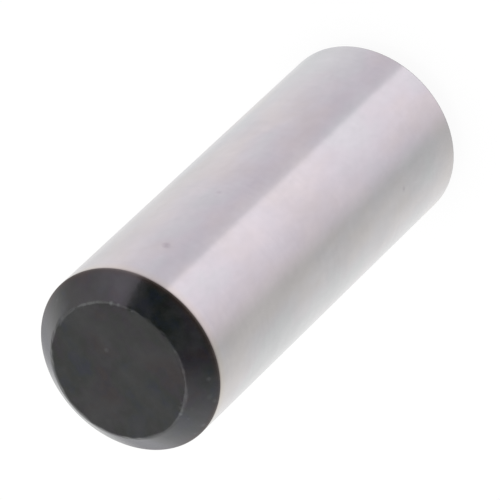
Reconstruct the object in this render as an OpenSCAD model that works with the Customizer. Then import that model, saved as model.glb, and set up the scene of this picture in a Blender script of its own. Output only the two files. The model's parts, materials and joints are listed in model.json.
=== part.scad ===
// Cylindrical dowel pin: a ground barrel between two flat ends. Each end has a
// bevel, close to 45 degrees, that leads the pin into its hole, and both
// corners of the bevel are broken with a small radius.
// Millimetres. The pin stands on its lower end, with its axis on +Z and the
// origin at the centre of the lower end face.

/* [Pin] */
// Diameter of the ground barrel
pin_d = 8; // [5:0.5:20]
// Overall length, from end face to end face
pin_l = 22; // [8:1:100]

/* [Ends] */
// Depth of a bevelled end, from its end face to where the barrel is straight
bevel_l = 1.0; // [0.3:0.1:2]
// Width of a bevelled end, from the flat of its face out to the barrel
bevel_w = 1.05; // [0.4:0.05:1.5]
// Radius of the corner between the end face and the bevel
face_corner_r = 0.15; // [0.05:0.01:0.25]
// Radius of the corner between the bevel and the barrel
rim_corner_r = 0.05; // [0.02:0.01:0.15]

/* [Hidden] */
$fn = 128;

pin_r = pin_d / 2;
barrel_l = pin_l - 2 * bevel_l;

// Centres of the two rounded corners, in a half section of one end that has
// its end face on the X axis
face_corner = [pin_r - bevel_w, face_corner_r];
rim_corner = [pin_r - rim_corner_r, bevel_l];

// The bevel is the straight line that touches both rounded corners
span = rim_corner - face_corner;
span_angle = atan2(span.y, span.x);
bevel_angle = span_angle + asin((face_corner_r - rim_corner_r) / norm(span));
bevel_out = [sin(bevel_angle), -cos(bevel_angle)];

// That line is drawn this little inside both corners, so that it crosses their
// arcs cleanly
tuck = 0.0001;

// Half section of one end, with its end face on the X axis
module end_section() {
    polygon([
        [0, 0],
        [face_corner.x, 0],
        face_corner,
        face_corner + (face_corner_r - tuck) * bevel_out,
        rim_corner + (rim_corner_r - tuck) * bevel_out,
        rim_corner,
        [0, bevel_l]
    ]);
    translate(face_corner) circle(r = face_corner_r);
    intersection() {
        translate(rim_corner) circle(r = rim_corner_r);
        square([pin_r, bevel_l]);
    }
}

// One bevelled end, standing on its end face
module pin_end() {
    rotate_extrude() end_section();
}

// The pin is one solid: a dark end, the bright barrel and a second dark end
module dowel_pin() {
    color("dimgray") pin_end();
    color("gainsboro")
        translate([0, 0, bevel_l]) cylinder(r = pin_r, h = barrel_l);
    color("dimgray")
        translate([0, 0, pin_l]) mirror([0, 0, 1]) pin_end();
}

dowel_pin();
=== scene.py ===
# Dowel pin: hardened steel, ground bright round the barrel, with blackened bevelled ends.
# It stands on its lower end, and a long lens looks down on its upper end.
import json
import math
import random

import bpy
from mathutils import Matrix, Vector, noise


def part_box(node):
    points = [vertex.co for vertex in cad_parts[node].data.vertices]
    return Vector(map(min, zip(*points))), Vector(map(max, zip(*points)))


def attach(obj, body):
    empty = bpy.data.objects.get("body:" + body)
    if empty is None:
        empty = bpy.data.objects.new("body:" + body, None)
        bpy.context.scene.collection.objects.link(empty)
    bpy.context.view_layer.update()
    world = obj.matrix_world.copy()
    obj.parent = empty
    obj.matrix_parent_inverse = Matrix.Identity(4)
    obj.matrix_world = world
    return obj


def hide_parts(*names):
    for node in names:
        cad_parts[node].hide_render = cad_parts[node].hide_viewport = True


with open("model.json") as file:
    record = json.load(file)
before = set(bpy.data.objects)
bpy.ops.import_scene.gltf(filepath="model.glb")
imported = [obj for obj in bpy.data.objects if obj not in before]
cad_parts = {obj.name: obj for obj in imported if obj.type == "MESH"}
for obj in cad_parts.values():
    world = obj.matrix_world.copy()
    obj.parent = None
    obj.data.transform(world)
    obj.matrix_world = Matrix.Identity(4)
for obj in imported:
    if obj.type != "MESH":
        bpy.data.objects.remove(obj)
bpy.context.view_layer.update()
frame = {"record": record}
mm = 0.001


# ---- helpers ----

def srgb(hexColour):
    # sRGB hex to the linear RGBA that Blender's sockets take
    channels = [int(hexColour[i:i + 2], 16) / 255 for i in (1, 3, 5)]
    linear = [c / 12.92 if c <= 0.04045 else ((c + 0.055) / 1.055) ** 2.4 for c in channels]
    return (*linear, 1.0)


def addNode(tree, kind, inputs=None, stops=None, **settings):
    # inputs: a value or another node's output; stops: a ramp's (place, hex colour), lowest first
    node = tree.nodes.new(kind)
    for name, value in settings.items():
        setattr(node, name, value)
    for key, value in (inputs or {}).items():
        if isinstance(value, bpy.types.NodeSocket):
            tree.links.new(value, node.inputs[key])
        else:
            node.inputs[key].default_value = value
    for i, (place, colour) in enumerate(stops or []):
        element = node.color_ramp.elements[i] if i < 2 else node.color_ramp.elements.new(1.0)
        element.position = place
        element.color = srgb(colour)
    return node


# ---- camera ----

cameraView = {
    "lens": 576,                # mm
    "sensor": 36,               # mm
    "distance": 319.9 * mm,
    "elevation": 49.28,         # degrees above the horizon
    "roll": -133.6,             # degrees, so that the top of the pin points down to the left
    "aim": (-0.132 * mm, 0, 11.29 * mm),
}


def placeCamera(v):
    data = bpy.data.cameras.new("camera")
    data.sensor_width = v["sensor"]
    data.lens = v["lens"]
    data.clip_start = 0.01
    data.clip_end = 10
    camera = bpy.data.objects.new("camera", data)
    bpy.context.collection.objects.link(camera)
    tilt = math.radians(90 - v["elevation"])
    turn = Matrix.Rotation(tilt, 4, "X") @ Matrix.Rotation(math.radians(v["roll"]), 4, "Z")
    back = Matrix.Translation((0, 0, v["distance"]))
    camera.matrix_world = Matrix.Translation(v["aim"]) @ turn @ back
    bpy.context.scene.camera = camera


placeCamera(cameraView)
print("camera placed")

# ---- light tent ----

# heights, depths and widths in the tent are parts of a view line that is 1 long

tent = {
    "plainLevel": 0.8,          # grey level of the light that falls on the pin
    "mirrorLevel": 1.26,        # strength of what its metal mirrors
    "firstEdge": 29,            # degrees from the front, where the low panels begin and end
    "lowPanels": [              # what the barrel mirrors: (degrees on from the first edge, colour)
        (0, "#d6d4d8"),
        (20, "#d0ccd2"),
        (75, "#e2e0e2"),
        (115, "#dadcdc"),
        (135, "#eaebea"),
        (175, "#eaebe9"),
        (270, "#bbbdbb"),
        (290, "#d6d2d7"),
        (330, "#f0ebf0"),
        (360, "#faf6fa"),
    ],
    "panelTops": (-0.55, -0.2), # heights where the low panels give way to the walls
    "heightBands": [            # (height of the view line from straight down to straight up, share)
        (0.18, "#ffffff"),
        (0.26, "#d0cfd5"),
        (0.30, "#d6d5db"),
        (0.34, "#f6f5fa"),
        (0.40, "#ffffff"),
    ],
    "openFront": "#36383a",     # the dark room, seen through the open front
    "edgeAcross": (1, 0.95, -0.38),     # across the slanted edge where the right wall begins
    "edgeBlur": (-0.06, 0.11),
    "wallsMeet": 0.15,          # how far each wall reaches over the middle
    "rightWall": [              # (place from the front to the back, colour)
        (0.30, "#cfc8d4"),
        (0.70, "#a9a5a8"),
        (0.78, "#a9a5a6"),
        (0.86, "#c4c4c4"),
        (0.95, "#eaeaea"),
    ],
    "leftWall": [
        (0.20, "#444749"),
        (0.27, "#595b5e"),
        (0.58, "#aeafb2"),
        (0.90, "#dcdcde"),
        (0.95, "#ffffff"),
    ],
    "roofMiddle": "#979796",
    "roofSides": "#d8d8d8",
    "roofStrip": (0.22, 0.42),  # how far out the dark middle begins to fade, and where it ends
    "roofHeights": (0.45, 0.75),        # heights where the walls give way to the roof
    "roofFront": 0.2,           # how far before and behind the pin the roof's front edge fades
}


def hangTent(t):
    world = bpy.data.worlds.new("lightTent")
    bpy.context.scene.world = world
    world.use_nodes = True
    tree = world.node_tree
    tree.nodes.clear()
    towards = addNode(tree, "ShaderNodeTexCoord").outputs["Generated"]
    axes = addNode(tree, "ShaderNodeSeparateXYZ", {0: towards})

    # low panels go round the pin, from one sharp edge back to it
    turned = addNode(tree, "ShaderNodeMapping", {
        "Vector": towards,
        "Rotation": (0, 0, math.radians(-90 - t["firstEdge"])),
    }, vector_type="VECTOR")
    around = addNode(tree, "ShaderNodeTexGradient", {0: turned.outputs[0]}, gradient_type="RADIAL")
    low = addNode(tree, "ShaderNodeValToRGB", {0: around.outputs[1]},
                  stops=[(degrees / 360, colour) for degrees, colour in t["lowPanels"]])

    # walls go from the open front to the back, and the roof closes them
    depth = addNode(tree, "ShaderNodeMapRange", {"Value": axes.outputs["Y"], "From Min": -1.0})
    panels = addNode(tree, "ShaderNodeValToRGB", {0: depth.outputs[0]}, stops=t["rightWall"])
    across = addNode(tree, "ShaderNodeVectorMath", {0: towards, 1: t["edgeAcross"]},
                     operation="DOT_PRODUCT")
    begun = addNode(tree, "ShaderNodeMapRange", {
        "Value": across.outputs["Value"], "From Min": t["edgeBlur"][0], "From Max": t["edgeBlur"][1],
    })
    right = addNode(tree, "ShaderNodeMix",
                    {0: begun.outputs[0], 6: srgb(t["openFront"]), 7: panels.outputs[0]}, data_type="RGBA")
    left = addNode(tree, "ShaderNodeValToRGB", {0: depth.outputs[0]}, stops=t["leftWall"])
    side = addNode(tree, "ShaderNodeMapRange", {
        "Value": axes.outputs["X"], "From Min": -t["wallsMeet"], "From Max": t["wallsMeet"],
    }, interpolation_type="SMOOTHSTEP")
    walls = addNode(tree, "ShaderNodeMix", {0: side.outputs[0], 6: left.outputs[0], 7: right.outputs[2]},
                    data_type="RGBA")
    height = addNode(tree, "ShaderNodeMapRange", {
        "Value": axes.outputs["Z"], "From Min": t["roofHeights"][0], "From Max": t["roofHeights"][1],
    }, interpolation_type="SMOOTHSTEP")
    behind = addNode(tree, "ShaderNodeMapRange", {
        "Value": axes.outputs["Y"], "From Min": -t["roofFront"], "From Max": t["roofFront"],
    }, interpolation_type="SMOOTHSTEP")
    closed = addNode(tree, "ShaderNodeMath", {0: height.outputs[0], 1: behind.outputs[0]},
                     operation="MULTIPLY")
    outward = addNode(tree, "ShaderNodeMath", {0: axes.outputs["X"]}, operation="ABSOLUTE")
    strip = addNode(tree, "ShaderNodeMapRange", {
        "Value": outward.outputs[0], "From Min": t["roofStrip"][0], "From Max": t["roofStrip"][1],
    }, interpolation_type="SMOOTHSTEP")
    roof = addNode(tree, "ShaderNodeMix", {
        0: strip.outputs[0], 6: srgb(t["roofMiddle"]), 7: srgb(t["roofSides"]),
    }, data_type="RGBA")
    upper = addNode(tree, "ShaderNodeMix", {0: closed.outputs[0], 6: walls.outputs[2], 7: roof.outputs[2]},
                    data_type="RGBA")
    rise = addNode(tree, "ShaderNodeMapRange", {
        "Value": axes.outputs["Z"], "From Min": t["panelTops"][0], "From Max": t["panelTops"][1],
    }, interpolation_type="SMOOTHSTEP")
    inside = addNode(tree, "ShaderNodeMix", {0: rise.outputs[0], 6: low.outputs[0], 7: upper.outputs[2]},
                     data_type="RGBA")
    level = addNode(tree, "ShaderNodeMapRange", {"Value": axes.outputs["Z"], "From Min": -1.0})
    bands = addNode(tree, "ShaderNodeValToRGB", {0: level.outputs[0]}, stops=t["heightBands"])
    banded = addNode(tree, "ShaderNodeMix", {0: 1.0, 6: inside.outputs[2], 7: bands.outputs[0]},
                     data_type="RGBA", blend_type="MULTIPLY")

    # the lens sees plain white, metal sees the tent, and everything else gets plain light
    ray = addNode(tree, "ShaderNodeLightPath")
    tentLight = addNode(tree, "ShaderNodeBackground",
                        {"Color": banded.outputs[2], "Strength": t["mirrorLevel"]})
    white = addNode(tree, "ShaderNodeBackground", {"Color": (1, 1, 1, 1), "Strength": 1.0})
    shown = addNode(tree, "ShaderNodeMixShader",
                    {0: ray.outputs["Is Camera Ray"], 1: tentLight.outputs[0], 2: white.outputs[0]})
    plain = addNode(tree, "ShaderNodeBackground",
                    {"Color": (t["plainLevel"],) * 3 + (1,), "Strength": 1.0})
    seen = addNode(tree, "ShaderNodeMath",
                   {0: ray.outputs["Is Camera Ray"], 1: ray.outputs["Is Glossy Ray"]}, operation="ADD")
    seen = addNode(tree, "ShaderNodeMath",
                   {0: seen.outputs[0], 1: ray.outputs["Is Transmission Ray"]},
                   operation="ADD", use_clamp=True)
    mix = addNode(tree, "ShaderNodeMixShader",
                  {0: seen.outputs[0], 1: plain.outputs[0], 2: shown.outputs[0]})
    addNode(tree, "ShaderNodeOutputWorld", {"Surface": mix.outputs[0]})


hangTent(tent)
bpy.context.scene.view_settings.view_transform = "Standard"
print("light tent hung")

# ---- floor and lamp ----

stage = {
    "floorSize": 2.0,           # m
    "gap": 0.01 * mm,           # keeps the paper and the end face apart
    "paper": "#e6e6e6",
    "paperGlow": 0.93,          # what the lens sees of the paper besides its shadows
    "shadowShare": "#5c5c5c",   # the part of the paper's light that a shadow can take away
    "lampPower": 0.1,           # W
    "lampSize": 0.2,            # m
    "lampHeight": 0.4,          # m
    "lampForward": 0.05,        # m in front of the pin
}


def layFloor(s):
    mesh = bpy.data.meshes.new("floor")
    h = s["floorSize"] / 2
    z = -s["gap"]
    mesh.from_pydata([(-h, -h, z), (h, -h, z), (h, h, z), (-h, h, z)], [], [(0, 1, 2, 3)])
    floor = bpy.data.objects.new("floor", mesh)
    bpy.context.collection.objects.link(floor)
    material = bpy.data.materials.new("whitePaper")
    material.use_nodes = True
    tree = material.node_tree
    tree.nodes.clear()
    paper = addNode(tree, "ShaderNodeBsdfDiffuse", {"Color": srgb(s["paper"])})
    shaded = addNode(tree, "ShaderNodeBsdfDiffuse", {"Color": srgb(s["shadowShare"])})
    glow = addNode(tree, "ShaderNodeEmission", {"Color": (1, 1, 1, 1), "Strength": s["paperGlow"]})
    white = addNode(tree, "ShaderNodeAddShader", {0: shaded.outputs[0], 1: glow.outputs[0]})
    ray = addNode(tree, "ShaderNodeLightPath")
    seen = addNode(tree, "ShaderNodeMath",
                   {0: ray.outputs["Is Camera Ray"], 1: ray.outputs["Is Glossy Ray"]}, operation="ADD")
    seen = addNode(tree, "ShaderNodeMath",
                   {0: seen.outputs[0], 1: ray.outputs["Is Transmission Ray"]},
                   operation="ADD", use_clamp=True)
    mix = addNode(tree, "ShaderNodeMixShader",
                  {0: seen.outputs[0], 1: paper.outputs[0], 2: white.outputs[0]})
    addNode(tree, "ShaderNodeOutputMaterial", {"Surface": mix.outputs[0]})
    mesh.materials.append(material)
    floor.visible_glossy = False        # the barrel mirrors the tent's low panels instead


def hangLamp(s):
    data = bpy.data.lights.new("softbox", "AREA")
    data.energy = s["lampPower"]
    data.size = s["lampSize"]
    lamp = bpy.data.objects.new("softbox", data)
    lamp.location = (0, -s["lampForward"], s["lampHeight"])
    lamp.rotation_euler = (math.atan2(s["lampForward"], s["lampHeight"]), 0, 0)
    lamp.visible_glossy = False
    bpy.context.collection.objects.link(lamp)


layFloor(stage)
hangLamp(stage)
print("floor laid, lamp hung")

# ---- the pin ----

barrelMount = next(m for m in frame["record"]["mounts"] if m["name"] == "barrel")
low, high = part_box("dowel_pin")

pin = {
    "radius": barrelMount["dims"]["r_mm"] * mm,
    "barrelLength": barrelMount["dims"]["length_mm"] * mm,
    "length": high[2] - low[2],
    "bevelWidth": 1.05 * mm,
    "faceCornerRadius": 0.15 * mm,
    "rimCornerRadius": 0.05 * mm,
    "segments": 640,
    "bevelCrown": 0.006 * mm,   # tumbling leaves the bevel a little full
    "bevelSteps": 12,
    "cornerSteps": 8,
    "barrelSteps": 16,
    "cornerReach": 0.25 * mm,   # how far from the corner of an end face its wear goes
    "cornerSpacing": 0.025 * mm,
    "wornRadius": 0.25 * mm,    # what wear has made of the radius of that corner
    "wornSpread": 1.1,          # how much it changes on the way round
    "wearLength": 0.6 * mm,     # from one much worn stretch to the next
    "nicks": 36,                # round each end face
    "nickDepth": 0.011 * mm,
    "nickWidth": 0.08 * mm,
    "nickLength": 0.22 * mm,
    "nickDepths": (0.3, 1.0),   # the shallowest and deepest, as shares of the depth
    "nickSizes": (0.5, 1.2),    # the smallest and largest, as shares of the width and length
    "nickScatter": 0.4,         # how far off the corner they are, as a share of the width
    "seed": 4,
}
pin["cornerMiddle"] = pin["radius"] - pin["bevelWidth"] + pin["faceCornerRadius"] / 3   # from its axis


def outlineOfEnd(p):
    # (radius, height, normal angle from straight down, distance from the middle of the face's
    # corner) from the end face's centre out to the barrel, where the distance is past any wear
    bevelLength = (p["length"] - p["barrelLength"]) / 2
    faceCorner = Vector((p["radius"] - p["bevelWidth"], p["faceCornerRadius"]))
    rimCorner = Vector((p["radius"] - p["rimCornerRadius"], bevelLength))
    span = rimCorner - faceCorner
    bevelAngle = math.atan2(span.y, span.x)
    bevelAngle += math.asin((p["faceCornerRadius"] - p["rimCornerRadius"]) / span.length)
    halfArc = p["faceCornerRadius"] * bevelAngle / 2
    along = Vector((math.cos(bevelAngle), math.sin(bevelAngle)))
    outward = Vector((math.sin(bevelAngle), -math.cos(bevelAngle)))
    bevelStart = faceCorner + p["faceCornerRadius"] * outward
    bevelEnd = rimCorner + p["rimCornerRadius"] * outward
    close = [p["cornerSpacing"] * (i + 1) for i in range(round(p["cornerReach"] / p["cornerSpacing"]))]

    rings = [(0.0, 0.0, 0.0, -faceCorner.x), (faceCorner.x / 2, 0.0, 0.0, -faceCorner.x / 2)]
    rings += [(faceCorner.x - d, 0.0, 0.0, -halfArc - d) for d in reversed(close)]
    for i in range(p["cornerSteps"] + 1):
        angle = bevelAngle * i / p["cornerSteps"]
        rings.append((faceCorner.x + p["faceCornerRadius"] * math.sin(angle),
                      faceCorner.y - p["faceCornerRadius"] * math.cos(angle),
                      angle, p["faceCornerRadius"] * angle - halfArc))
    bevelRun = (bevelEnd - bevelStart).length
    further = [p["cornerReach"] + (bevelRun - p["cornerReach"]) * i / p["bevelSteps"]
               for i in range(1, p["bevelSteps"])]
    for d in close + further + [bevelRun - p["cornerSpacing"]]:
        bulge = 4 * p["bevelCrown"] * (d / bevelRun) * (1 - d / bevelRun)   # most half-way
        rings.append((*(bevelStart + d * along + bulge * outward), bevelAngle, halfArc + d))
    for i in range(p["cornerSteps"] + 1):
        angle = bevelAngle + (math.pi / 2 - bevelAngle) * i / p["cornerSteps"]
        rings.append((rimCorner.x + p["rimCornerRadius"] * math.sin(angle),
                      rimCorner.y - p["rimCornerRadius"] * math.cos(angle), angle, math.inf))
    rings.append((p["radius"], bevelLength + p["cornerSpacing"], math.pi / 2, math.inf))
    return rings


def wearOfCorner(p, seed):
    # how deep the corner of an end face is worn, at a turn and a distance from the corner's middle:
    # an uneven round-over, and small nicks
    draw = random.Random(seed)
    offset = Vector((0, 0, draw.uniform(0, 50)))
    made = p["faceCornerRadius"]
    half = math.tan(math.radians(45 / 2))       # half of the corner's turn, which is close to 45
    nicks = [(draw.uniform(0, math.tau), draw.gauss(0.0, p["nickScatter"]) * p["nickWidth"],
              draw.uniform(*p["nickSizes"]), p["nickDepth"] * draw.uniform(*p["nickDepths"]))
             for _ in range(p["nicks"])]

    def depth(turn, distance):
        if abs(distance) > p["cornerReach"]:
            return 0.0
        spot = Vector((math.cos(turn), math.sin(turn), 0)) * p["cornerMiddle"] / p["wearLength"] + offset
        worn = p["wornRadius"] * (1.0 + p["wornSpread"] * noise.noise(spot))
        deep = max(worn * half - abs(distance), 0.0) ** 2 / (2 * worn)
        deep -= max(made * half - abs(distance), 0.0) ** 2 / (2 * made)
        for nickTurn, nickDistance, size, nickDeep in nicks:
            away = (turn - nickTurn + math.pi) % math.tau - math.pi
            gap = math.hypot(away * p["cornerMiddle"] / p["nickLength"],
                             (distance - nickDistance) / p["nickWidth"])
            gap /= size
            if gap < 1.0:
                deep += nickDeep * (1.0 - gap * gap) ** 2
        return max(deep, 0.0)

    return depth


def turnPin(p):
    n = p["segments"]
    lowerEnd = outlineOfEnd(p)
    upperEnd = [(r, p["length"] - z, math.pi - a, d) for r, z, a, d in reversed(lowerEnd)]
    z0, z1 = lowerEnd[-1][1], upperEnd[0][1]
    step = (z1 - z0) / p["barrelSteps"]
    barrel = [(p["radius"], z0 + step * i, math.pi / 2, math.inf) for i in range(1, p["barrelSteps"])]
    outline = lowerEnd + barrel + upperEnd
    groundBands = range(len(lowerEnd) - 3, len(lowerEnd) + len(barrel))     # from rim to rim
    wears = (wearOfCorner(p, p["seed"]), wearOfCorner(p, p["seed"] + 1))
    verts, faces, slots = [], [], []
    for i, (r, z, a, d) in enumerate(outline[1:-1]):
        wear = wears[0] if i < len(outline) / 2 else wears[1]
        for k in range(n):
            t = math.tau * k / n
            deep = wear(t, d)
            away = r - deep * math.sin(a)
            verts.append((away * math.cos(t), away * math.sin(t), z + deep * math.cos(a)))
    for i in range(len(outline) - 3):
        for k in range(n):
            here, beside = i * n + k, i * n + (k + 1) % n
            faces.append((here, beside, beside + n, here + n))
            slots.append(1 if i in groundBands else 0)
    bottom, top = len(verts), len(verts) + 1
    verts += [(0, 0, 0), (0, 0, p["length"])]
    last = (len(outline) - 3) * n
    for k in range(n):
        faces.append((bottom, (k + 1) % n, k))
        faces.append((top, last + k, last + (k + 1) % n))
        slots += [0, 0]
    mesh = bpy.data.meshes.new("dowelPin")
    mesh.from_pydata(verts, [], faces)
    mesh.polygons.foreach_set("use_smooth", [True] * len(faces))
    mesh.polygons.foreach_set("material_index", slots)
    piece = bpy.data.objects.new("dowelPin", mesh)
    bpy.context.collection.objects.link(piece)
    return piece


# ---- its finishes ----

def pointOnPin(degrees, radius, height):
    # degrees go round from the front, -Y, towards +X
    turn = math.radians(degrees)
    return Vector((radius * math.sin(turn), -radius * math.cos(turn), height))


groundSteelLook = {
    "tints": [                  # faint haze left by the coolant, warm to cool
        (0.38, "#dad4d5"),
        (0.47, "#d9d4d7"),
        (0.53, "#d8d4d8"),
        (0.62, "#d6d5d8"),
    ],
    "tintSize": 2.4,            # mm
    "stainShade": "#f6f6f6",    # how much a stain darkens the metal
    "stainSize": 1.6,           # mm
    "stainNoise": (0.35, 0.65), # the noise that leaves the metal clean, and fully stained
    "wipe": 1.8,                # how much longer a stain is along the pin than round it
    "filmLength": 0.5,          # mm
    "filmShades": [             # a breath of oxide left on the barrel below the upper end
        (0.0, "#ffffff"),
        (0.76, "#fffcf4"),
        (1.0, "#d1cbc4"),
    ],
    "roughness": 0.21,
    "roughnessSpread": 0.03,
    "anisotropy": 0.75,
    "lineSpacing": 0.08,        # mm; real ones are 0.02 mm apart, too fine to show
    "lineLength": 4.0,          # mm
    "lineDepth": 0.0003,        # mm
    "lineNoise": (0.25, 0.75),  # the noise of the smoothest line, and of the roughest
    "pitColour": "#b4adb3",
    "pitFade": 0.6,             # where a pit ends, as a share of its width
    "pits": [                   # (degrees round, mm up the pin, width in mm, how dark)
        (33.9, 18.61, 0.42, 0.6),
        (34.7, 18.51, 0.42, 0.6),
        (36, 14.0, 0.28, 0.3),
        (-41, 5.3, 0.3, 0.4),
        (128, 8.4, 0.3, 0.4),
        (-152, 16.1, 0.36, 0.5),
        (-98, 3.6, 0.25, 0.3),
    ],
}


def groundSteel(g, p):
    # hardened alloy steel, ground between wheels: bright and smooth, and the fine lines that run
    # round it spread each reflection along the pin
    material = bpy.data.materials.new("groundSteel")
    material.use_nodes = True
    tree = material.node_tree
    shader = tree.nodes["Principled BSDF"]
    place = addNode(tree, "ShaderNodeTexCoord").outputs["Object"]

    length = g["lineLength"] * mm
    spacing = g["lineSpacing"] * mm
    stretched = addNode(tree, "ShaderNodeMapping",
                        {"Vector": place, "Scale": (1 / length, 1 / length, 1 / spacing)})
    lines = addNode(tree, "ShaderNodeTexNoise",
                    {"Vector": stretched.outputs[0], "Scale": 1.0, "Detail": 3.0, "Roughness": 0.6})
    polish = addNode(tree, "ShaderNodeMapRange", {
        "Value": lines.outputs[0], "From Min": g["lineNoise"][0], "From Max": g["lineNoise"][1],
        "To Min": g["roughness"] - g["roughnessSpread"], "To Max": g["roughness"] + g["roughnessSpread"],
    })

    wiped = addNode(tree, "ShaderNodeMapping", {"Vector": place, "Scale": (1, 1, 1 / g["wipe"])})
    stain = addNode(tree, "ShaderNodeTexNoise", {
        "Vector": wiped.outputs[0], "Scale": 1 / (g["stainSize"] * mm), "Detail": 6.0, "Roughness": 0.75,
    })
    stained = addNode(tree, "ShaderNodeMapRange", {
        "Value": stain.outputs[0], "From Min": g["stainNoise"][0], "From Max": g["stainNoise"][1],
    })
    haze = addNode(tree, "ShaderNodeTexNoise",
                   {"Vector": wiped.outputs[0], "Scale": 1 / (g["tintSize"] * mm), "Detail": 3.0})
    hazed = addNode(tree, "ShaderNodeValToRGB", {0: haze.outputs[0]}, stops=g["tints"])
    metal = addNode(tree, "ShaderNodeMix",
                    {0: stained.outputs[0], 6: hazed.outputs[0], 7: srgb(g["stainShade"])},
                    data_type="RGBA", blend_type="MULTIPLY")
    along = addNode(tree, "ShaderNodeSeparateXYZ", {0: place}).outputs["Z"]
    barrelTop = (p["length"] + p["barrelLength"]) / 2
    nearEnd = addNode(tree, "ShaderNodeMapRange", {
        "Value": along, "From Min": barrelTop - g["filmLength"] * mm, "From Max": barrelTop,
    })
    film = addNode(tree, "ShaderNodeValToRGB", {0: nearEnd.outputs[0]}, stops=g["filmShades"])
    metal = addNode(tree, "ShaderNodeMix", {0: 1.0, 6: metal.outputs[2], 7: film.outputs[0]},
                    data_type="RGBA", blend_type="MULTIPLY")

    pitted = 0.0
    for degrees, height, width, share in g["pits"]:
        away = addNode(tree, "ShaderNodeVectorMath",
                       {0: place, 1: pointOnPin(degrees, p["radius"], height * mm)}, operation="DISTANCE")
        pit = addNode(tree, "ShaderNodeMapRange", {
            "Value": away.outputs["Value"], "From Max": g["pitFade"] * width * mm,
            "To Min": share, "To Max": 0.0,
        }, interpolation_type="SMOOTHSTEP")
        pitted = addNode(tree, "ShaderNodeMath", {0: pitted, 1: pit.outputs[0]},
                         operation="MAXIMUM").outputs[0]
    marked = addNode(tree, "ShaderNodeMix",
                     {0: pitted, 6: metal.outputs[2], 7: srgb(g["pitColour"])}, data_type="RGBA")

    relief = addNode(tree, "ShaderNodeBump",
                     {"Height": lines.outputs[0], "Strength": 1.0, "Distance": g["lineDepth"] * mm})
    around = addNode(tree, "ShaderNodeTangent", direction_type="RADIAL", axis="Z")
    tree.links.new(marked.outputs[2], shader.inputs["Base Color"])
    tree.links.new(polish.outputs[0], shader.inputs["Roughness"])
    tree.links.new(relief.outputs[0], shader.inputs["Normal"])
    tree.links.new(around.outputs[0], shader.inputs["Tangent"])
    shader.inputs["Metallic"].default_value = 1.0
    shader.inputs["Anisotropic"].default_value = g["anisotropy"]
    shader.inputs["Anisotropic Rotation"].default_value = 0.25      # the lines run round the pin
    return material


blackOxideLook = {
    "filmTints": [              # colours of the film from its thinnest to its thickest
        (0.36, "#201315"),
        (0.42, "#19111e"),
        (0.47, "#141314"),
        (0.53, "#10150f"),
        (0.58, "#0b151a"),
        (0.64, "#091024"),
    ],
    "tintSize": 1.5,            # mm
    "paleColour": "#2c2c2d",
    "paleSize": 1.2,            # mm
    "paleNoise": (0.4, 0.74),   # the noise where the film begins to be pale, and is fully so
    "rimColours": [             # the film is thin and brown next to the ground barrel
        (0.0, "#2c1c14"),
        (0.66, "#2c1c14"),
        (1.0, "#5f544e"),
    ],
    "rimWidth": 0.18,           # mm in from the barrel
    "rimFull": 0.07,            # mm in from the barrel
    "rimNoise": (0.65, 0.35),   # the noise where the film is too thick to be brown, and is fully so
    "rimLeast": 0.3,            # how brown it is even there
    "roughness": 0.19,
    "roughnessSpread": 0.04,
    "ior": 1.9,
    "grainSize": 0.25,          # mm
    "grainDepth": 0.004,        # mm
    # bare steel, for the wear and for the painted glint along the corner
    "wornAndGlintColour": "#a3a6a8",
    "wornAndGlintReach": 0.1,           # mm to each side of the corner of the end face, where its wear and painted glint lie
    "dashLength": 0.3,          # mm
    "dashNoise": (0.42, 0.58),  # the noise where the corner keeps its film, and is bare and painted bright
    "fleckSize": 0.35,          # mm
    "fleckNoise": (0.45, 0.75), # the noise where a fleck begins, and is at its barest
    "fleckShare": 0.025,        # how bare the film's thinnest flecks are
    "wearAndGlintAround": [             # how bare the corner is, real wear with a painted glint, none in front and most to the sides, (part of a turn from the front, grey)
        (0.09, "#000000"),
        (0.115, "#707070"),
        (0.13, "#707070"),
        (0.14, "#2c2c2c"),
        (0.15, "#5c5c5c"),
        (0.2, "#606060"),
        (0.215, "#141414"),
        (0.245, "#141414"),
        (0.26, "#404040"),
        (0.775, "#404040"),
        (0.79, "#808080"),
        (0.82, "#5c5c5c"),
        (0.91, "#000000"),
    ],
    "speckFade": 0.6,           # where a speck ends, as a share of its width
    "specks": [                 # (degrees round, mm from the axis, mm up, width in mm, how bare)
        (-74.6, 3.0, 21.96, 0.22, 0.3),
        (-64, 2.93, 21.99, 0.26, 0.1),
        (-69, 2.93, 21.99, 0.26, 0.1),
        (-68.6, 3.25, 21.71, 0.24, 0.06),
        (44, 3.0, 21.96, 0.22, 0.35),
        (38, 3.0, 21.96, 0.2, 0.2),
        (-46, 3.67, 21.32, 0.26, 0.12),
        (-59, 3.7, 21.28, 0.35, 0.08),
        (-62, 3.88, 21.11, 0.26, 0.12),
        (-78, 3.3, 21.7, 0.12, 0.15),
        (-82, 3.85, 21.14, 0.28, 0.2),
        (-91, 3.84, 21.15, 0.24, 0.15),
        (95, 3.64, 21.34, 0.2, 0.15),
        (70, 0.96, 22.0, 0.28, 0.12),
        (62, 1.12, 22.0, 0.6, 0.03),
        (155, 1.9, 22.0, 0.12, 0.06),
        (-110, 1.2, 0.0, 0.2, 0.06),
        (20, 3.6, 0.6, 0.12, 0.2),
    ],
}


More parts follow.
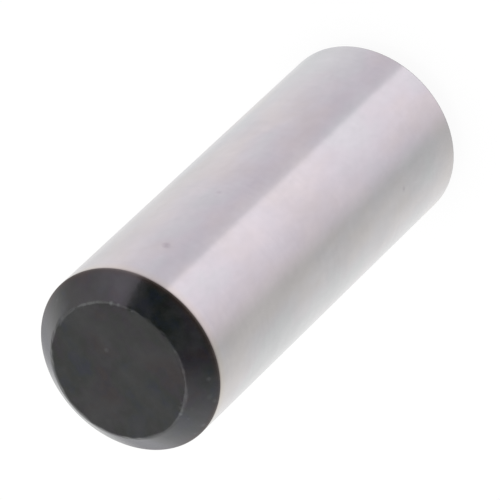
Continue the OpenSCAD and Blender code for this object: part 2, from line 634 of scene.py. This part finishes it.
def blackOxide(b, p):
    # magnetite film left from blackening the steel: near black, with a dull gloss, a little patchy,
    # brown where it thins at the rim, with faint bare flecks all over, and bright steel where it
    # has rubbed through along the corner and in specks; along the corner it is partly real wear and
    # partly a painted glint, none in front and most to the sides
    material = bpy.data.materials.new("blackOxide")
    material.use_nodes = True
    tree = material.node_tree
    shader = tree.nodes["Principled BSDF"]
    place = addNode(tree, "ShaderNodeTexCoord").outputs["Object"]
    flat = addNode(tree, "ShaderNodeVectorMath", {0: place, 1: (1, 1, 0)}, operation="MULTIPLY")
    radius = addNode(tree, "ShaderNodeVectorMath", {0: flat.outputs[0]}, operation="LENGTH")
    radius = radius.outputs["Value"]

    pale = addNode(tree, "ShaderNodeTexNoise",
                   {"Vector": place, "Scale": 1 / (b["paleSize"] * mm), "Detail": 5.0, "Roughness": 0.6})
    paled = addNode(tree, "ShaderNodeMapRange", {
        "Value": pale.outputs[0], "From Min": b["paleNoise"][0], "From Max": b["paleNoise"][1],
    })
    thickness = addNode(tree, "ShaderNodeTexNoise", {
        "Vector": place, "Scale": 1 / (b["tintSize"] * mm), "Detail": 4.0, "Roughness": 0.6,
    })
    tints = addNode(tree, "ShaderNodeValToRGB", {0: thickness.outputs[0]}, stops=b["filmTints"])
    oxide = addNode(tree, "ShaderNodeMix",
                    {0: paled.outputs[0], 6: tints.outputs[0], 7: srgb(b["paleColour"])}, data_type="RGBA")
    rimStart = p["radius"] - b["rimWidth"] * mm
    rimFull = p["radius"] - b["rimFull"] * mm
    atRim = addNode(tree, "ShaderNodeMapRange",
                    {"Value": radius, "From Min": rimStart, "From Max": rimFull})
    nearRim = addNode(tree, "ShaderNodeMapRange",
                      {"Value": radius, "From Min": rimStart, "From Max": p["radius"]})
    browns = addNode(tree, "ShaderNodeValToRGB", {0: nearRim.outputs[0]}, stops=b["rimColours"])
    thinned = addNode(tree, "ShaderNodeMapRange", {
        "Value": thickness.outputs[0], "From Min": b["rimNoise"][0], "From Max": b["rimNoise"][1],
        "To Min": b["rimLeast"],
    })
    brown = addNode(tree, "ShaderNodeMath", {0: atRim.outputs[0], 1: thinned.outputs[0]},
                    operation="MULTIPLY")
    oxide = addNode(tree, "ShaderNodeMix",
                    {0: brown.outputs[0], 6: oxide.outputs[2], 7: browns.outputs[0]}, data_type="RGBA")

    offCorner = addNode(tree, "ShaderNodeMath", {0: radius, 1: p["cornerMiddle"]}, operation="SUBTRACT")
    offCorner = addNode(tree, "ShaderNodeMath", {0: offCorner.outputs[0]}, operation="ABSOLUTE")
    corner = addNode(tree, "ShaderNodeMapRange", {
        "Value": offCorner.outputs[0], "From Max": b["wornAndGlintReach"] * mm, "To Min": 1.0, "To Max": 0.0,
    }, interpolation_type="SMOOTHSTEP")
    dash = addNode(tree, "ShaderNodeTexNoise",
                   {"Vector": place, "Scale": 1 / (b["dashLength"] * mm), "Detail": 3.0, "Roughness": 0.7})
    dashed = addNode(tree, "ShaderNodeMapRange", {
        "Value": dash.outputs[0], "From Min": b["dashNoise"][0], "From Max": b["dashNoise"][1],
    })
    turned = addNode(tree, "ShaderNodeMapping", {
        "Vector": place, "Rotation": (0, 0, math.radians(-90)),
    }, vector_type="VECTOR")
    around = addNode(tree, "ShaderNodeTexGradient", {0: turned.outputs[0]}, gradient_type="RADIAL")
    # painted glint with the wear: the corner's bright band, broken into dashes, is kept from the front and
    # is strongest to the sides
    wearAndGlint = addNode(tree, "ShaderNodeValToRGB", {0: around.outputs[1]}, stops=b["wearAndGlintAround"])
    worn = addNode(tree, "ShaderNodeMath", {0: corner.outputs[0], 1: dashed.outputs[0]},
                   operation="MULTIPLY")
    worn = addNode(tree, "ShaderNodeMath", {0: worn.outputs[0], 1: wearAndGlint.outputs[0]}, operation="MULTIPLY")
    fleck = addNode(tree, "ShaderNodeTexNoise",
                    {"Vector": place, "Scale": 1 / (b["fleckSize"] * mm), "Detail": 4.0, "Roughness": 0.7})
    flecked = addNode(tree, "ShaderNodeMapRange", {
        "Value": fleck.outputs[0], "From Min": b["fleckNoise"][0], "From Max": b["fleckNoise"][1],
        "To Max": b["fleckShare"],
    })
    worn = addNode(tree, "ShaderNodeMath", {0: worn.outputs[0], 1: flecked.outputs[0]},
                   operation="MAXIMUM").outputs[0]
    for degrees, out, height, width, share in b["specks"]:
        away = addNode(tree, "ShaderNodeVectorMath",
                       {0: place, 1: pointOnPin(degrees, out * mm, height * mm)}, operation="DISTANCE")
        speck = addNode(tree, "ShaderNodeMapRange", {
            "Value": away.outputs["Value"], "From Max": b["speckFade"] * width * mm,
            "To Min": share, "To Max": 0.0,
        }, interpolation_type="SMOOTHSTEP")
        worn = addNode(tree, "ShaderNodeMath", {0: worn, 1: speck.outputs[0]},
                       operation="MAXIMUM").outputs[0]
    marked = addNode(tree, "ShaderNodeMix", {0: worn, 6: oxide.outputs[2], 7: srgb(b["wornAndGlintColour"])},
                     data_type="RGBA")

    grain = addNode(tree, "ShaderNodeTexNoise",
                    {"Vector": place, "Scale": 1 / (b["grainSize"] * mm), "Detail": 4.0, "Roughness": 0.6})
    gloss = addNode(tree, "ShaderNodeMapRange", {
        "Value": pale.outputs[0],
        "To Min": b["roughness"] + b["roughnessSpread"], "To Max": b["roughness"] - b["roughnessSpread"],
    })
    relief = addNode(tree, "ShaderNodeBump",
                     {"Height": grain.outputs[0], "Strength": 1.0, "Distance": b["grainDepth"] * mm})
    tree.links.new(marked.outputs[2], shader.inputs["Base Color"])
    tree.links.new(worn, shader.inputs["Metallic"])
    tree.links.new(gloss.outputs[0], shader.inputs["Roughness"])
    tree.links.new(relief.outputs[0], shader.inputs["Normal"])
    shader.inputs["IOR"].default_value = b["ior"]
    return material


piece = turnPin(pin)
piece.data.materials.append(blackOxide(blackOxideLook, pin))
piece.data.materials.append(groundSteel(groundSteelLook, pin))
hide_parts("dowel_pin")
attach(piece, "root")
print("pin turned")
